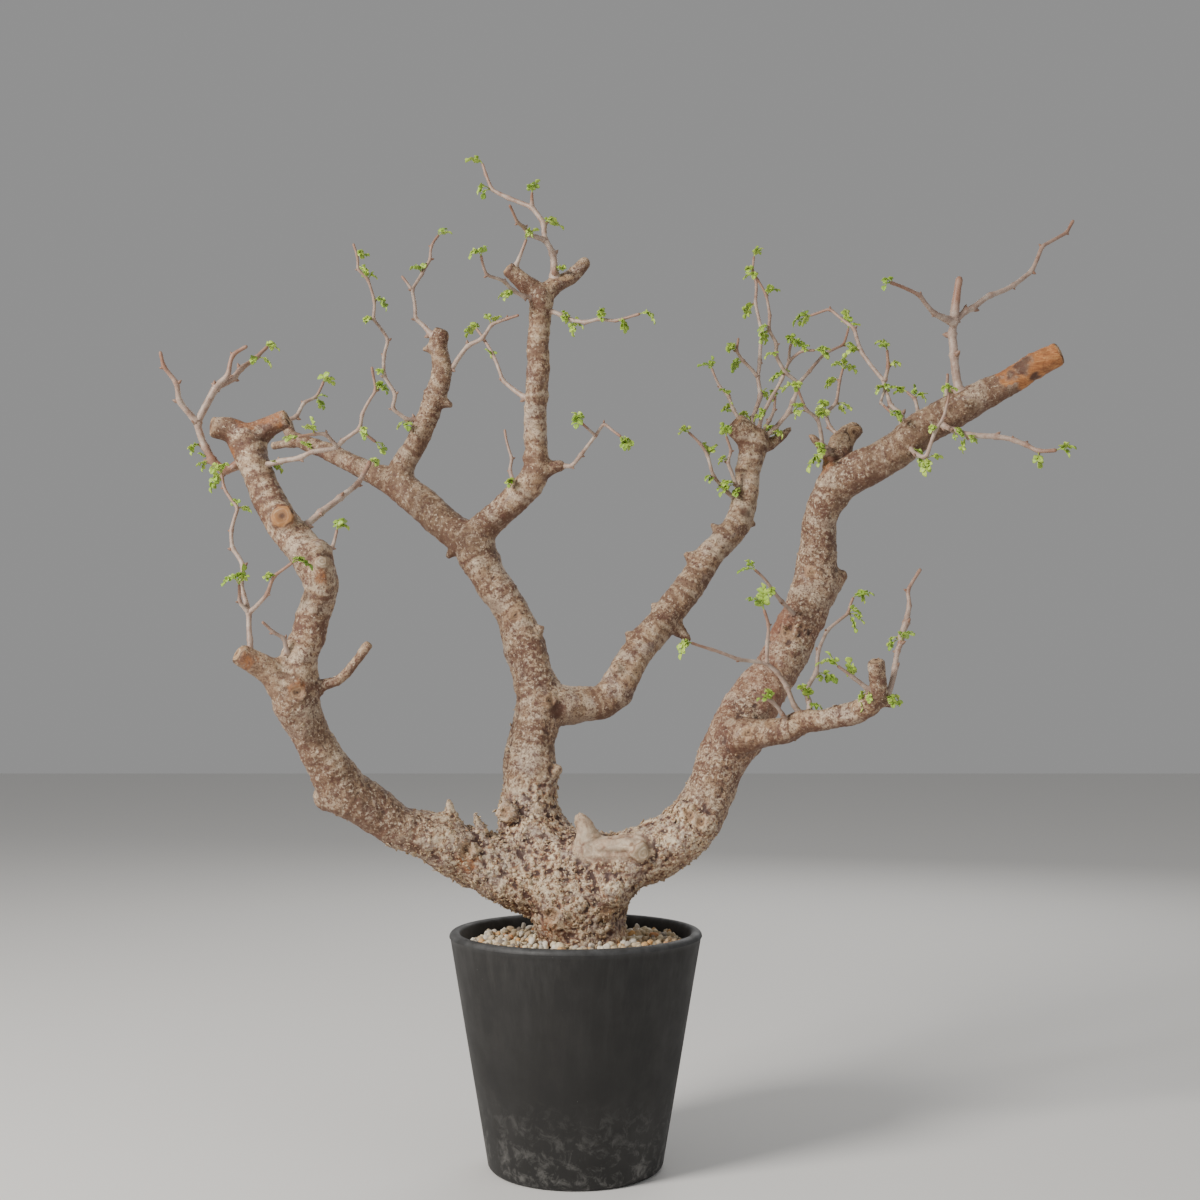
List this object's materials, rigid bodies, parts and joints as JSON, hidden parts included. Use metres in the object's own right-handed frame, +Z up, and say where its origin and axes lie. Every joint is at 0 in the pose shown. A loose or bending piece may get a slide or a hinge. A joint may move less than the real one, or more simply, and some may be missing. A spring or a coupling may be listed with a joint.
{
  "type": "potted caudex plant",
  "caption": "Hard-pruned caudex tree with a swollen flaky base, spreading limbs, zigzag young shoots and tiny new leaves, in a round tapered black pot topped with pale gravel.",
  "frame": {"origin": "centre of the pot's base, on the surface that the pot stands on", "axes": "+Z up out of the pot, +X to the right and -Y towards the viewer when the plant is seen from its front"},
  "size_m": [0.8726, 0.34, 0.9807],
  "materials": {
    "pot_plastic": "matte charcoal black plastic with faint vertical mottling and grey scuffs at the foot",
    "net_plastic": "black plastic net",
    "potting_mix": null,
    "gravel": "rounded cream, white, ochre and grey grit of 5 to 9 mm",
    "bark": "rough flaky tan and grey bark with dark specks on the base, smoother and ringed above, pale saw cuts",
    "young_bark": "smooth pinkish grey bark, redder at the tips",
    "leaf": null
  },
  "bodies": {
    "root": {"pot": "pot_plastic", "drain_net": "net_plastic", "potting_mix": "potting_mix", "gravel_top_dressing": "gravel", "caudex_tree": "bark", "shoot_left_arm": "young_bark", "shoot_left_head": "young_bark", "shoot_left_mid": "young_bark", "shoot_left_low": "young_bark", "shoot_left_knob": "young_bark", "shoot_left_whip": "young_bark", "shoot_left_fork": "young_bark", "shoot_riser_left": "young_bark", "shoot_riser_top": "young_bark", "shoot_riser_right": "young_bark", "shoot_centre_left": "young_bark", "shoot_elbow_right": "young_bark", "shoot_elbow_left": "young_bark", "shoot_crown_main": "young_bark", "shoot_crown_stub": "young_bark", "shoot_crown_left": "young_bark", "shoot_crown_right": "young_bark", "shoot_middle_left_a": "young_bark", "shoot_middle_left_b": "young_bark", "shoot_stump_left": "young_bark", "shoot_middle_tall": "young_bark", "shoot_middle_front": "young_bark", "shoot_middle_back": "young_bark", "shoot_middle_right": "young_bark", "shoot_hook_left": "young_bark", "shoot_hook_back": "young_bark", "shoot_right_high": "young_bark", "shoot_right_fork": "young_bark", "shoot_right_low": "young_bark", "shoot_right_long": "young_bark", "shoot_right_back": "young_bark", "shoot_right_bud": "young_bark", "shoot_low_tall": "young_bark", "shoot_low_left": "young_bark", "shoot_low_curl": "young_bark", "shoot_low_tip": "young_bark", "shoot_low_dead": "young_bark", "shoot_limb_left": "young_bark", "leaf_01_left_arm": "leaf", "leaf_02_left_mid": "leaf", "leaf_03_riser_left": "leaf", "leaf_04_riser_top": "leaf", "leaf_05_riser_right": "leaf", "leaf_06_crown_main": "leaf", "leaf_07_crown_left": "leaf", "leaf_08_crown_right": "leaf", "leaf_09_elbow_right": "leaf", "leaf_10_middle_right": "leaf", "leaf_11_middle_right": "leaf", "leaf_12_right_high": "leaf", "leaf_13_right_low": "leaf", "leaf_14_low_dead": "leaf", "leaf_15_limb_left": "leaf"}
  },
  "joints": []
}
